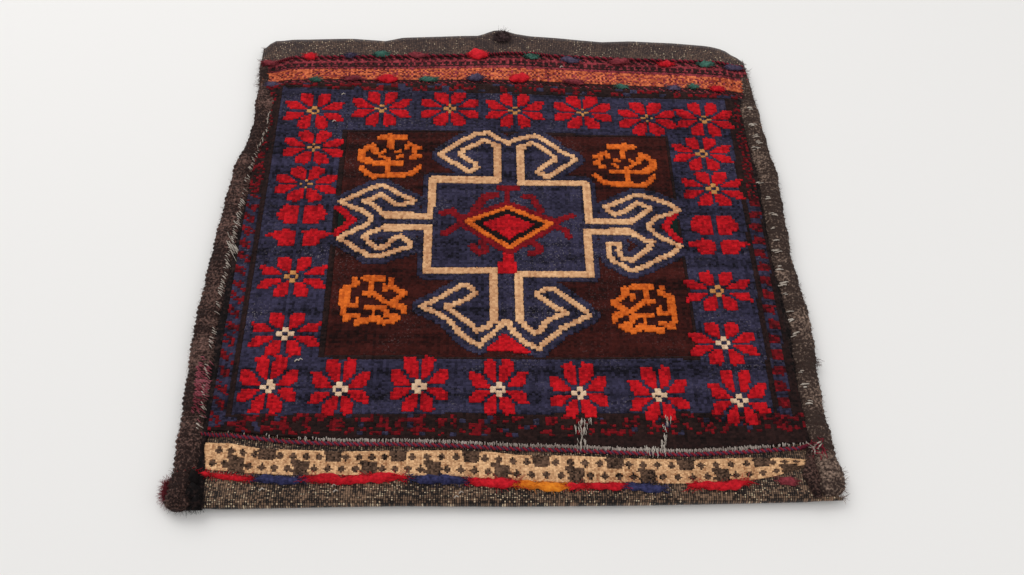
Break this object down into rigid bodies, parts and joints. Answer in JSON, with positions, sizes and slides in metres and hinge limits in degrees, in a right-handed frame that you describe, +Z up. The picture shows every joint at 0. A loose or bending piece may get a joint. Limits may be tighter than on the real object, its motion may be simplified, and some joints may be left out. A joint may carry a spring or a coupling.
{
  "type": "hand-knotted bag",
  "caption": "Small square hand-knotted wool bag lying flat, folded at the near edge, with wound sides and the mouth at the far edge.",
  "frame": {"origin": "under the middle of the bag's box, on the surface that it lies on", "axes": "+Z up out of the pile front; +Y towards the mouth; +X to the right as the front is seen"},
  "size_m": [0.5902, 0.5922, 0.019],
  "materials": {
    "cloth": "plain-woven wool, matt",
    "goat": "wound goat hair, slightly shiny",
    "brown": "cut wool pile",
    "navy": "cut wool pile",
    "cream": "cut wool pile",
    "orange": "cut wool pile",
    "black": "cut wool pile",
    "red": "cut wool pile",
    "maroon": "cut wool pile",
    "dark": "cut wool pile",
    "crimson": "twined wool",
    "grey": "bare warp ends"
  },
  "bodies": {
    "root": {"bag_cloth": "cloth", "corner_tassel": "maroon", "far_brocade_diamonds": "orange", "far_brocade_ground": "maroon", "far_chain_lower": "crimson", "far_chain_upper": "crimson", "far_twined_cord": "crimson", "left_side_binding": "goat", "mouth_tuft": "goat", "near_brocade": "cream", "near_roving_row": "red", "near_twined_cord": "crimson", "near_warp_ends": "grey", "pile_border": "navy", "pile_chevron_left": "red", "pile_chevron_right": "red", "pile_diamond_band": "black", "pile_diamond_heart": "red", "pile_diamond_hooks": "maroon", "pile_diamond_rim": "orange", "pile_diamond_stem": "red", "pile_field": "brown", "pile_flower_far_1": "red", "pile_flower_far_2": "red", "pile_flower_far_3": "red", "pile_flower_far_4": "red", "pile_flower_far_5": "red", "pile_flower_far_6": "red", "pile_flower_far_7": "red", "pile_flower_left_1": "red", "pile_flower_left_2": "red", "pile_flower_left_3": "red", "pile_flower_left_4": "red", "pile_flower_left_5": "red", "pile_flower_near_1": "red", "pile_flower_near_2": "red", "pile_flower_near_3": "red", "pile_flower_near_4": "red", "pile_flower_near_5": "red", "pile_flower_near_6": "red", "pile_flower_near_7": "red", "pile_flower_right_1": "red", "pile_flower_right_2": "red", "pile_flower_right_3": "red", "pile_flower_right_4": "red", "pile_flower_right_5": "red", "pile_guard_far": "dark", "pile_guard_left": "dark", "pile_guard_near": "dark", "pile_guard_right": "dark", "pile_medallion_ground": "navy", "pile_medallion_halo": "navy", "pile_medallion_line": "cream", "pile_sprig_far_left": "orange", "pile_sprig_far_right": "orange", "pile_sprig_near_left": "orange", "pile_sprig_near_right": "orange", "pile_triangle": "red", "right_side_binding": "goat"}
  },
  "joints": []
}
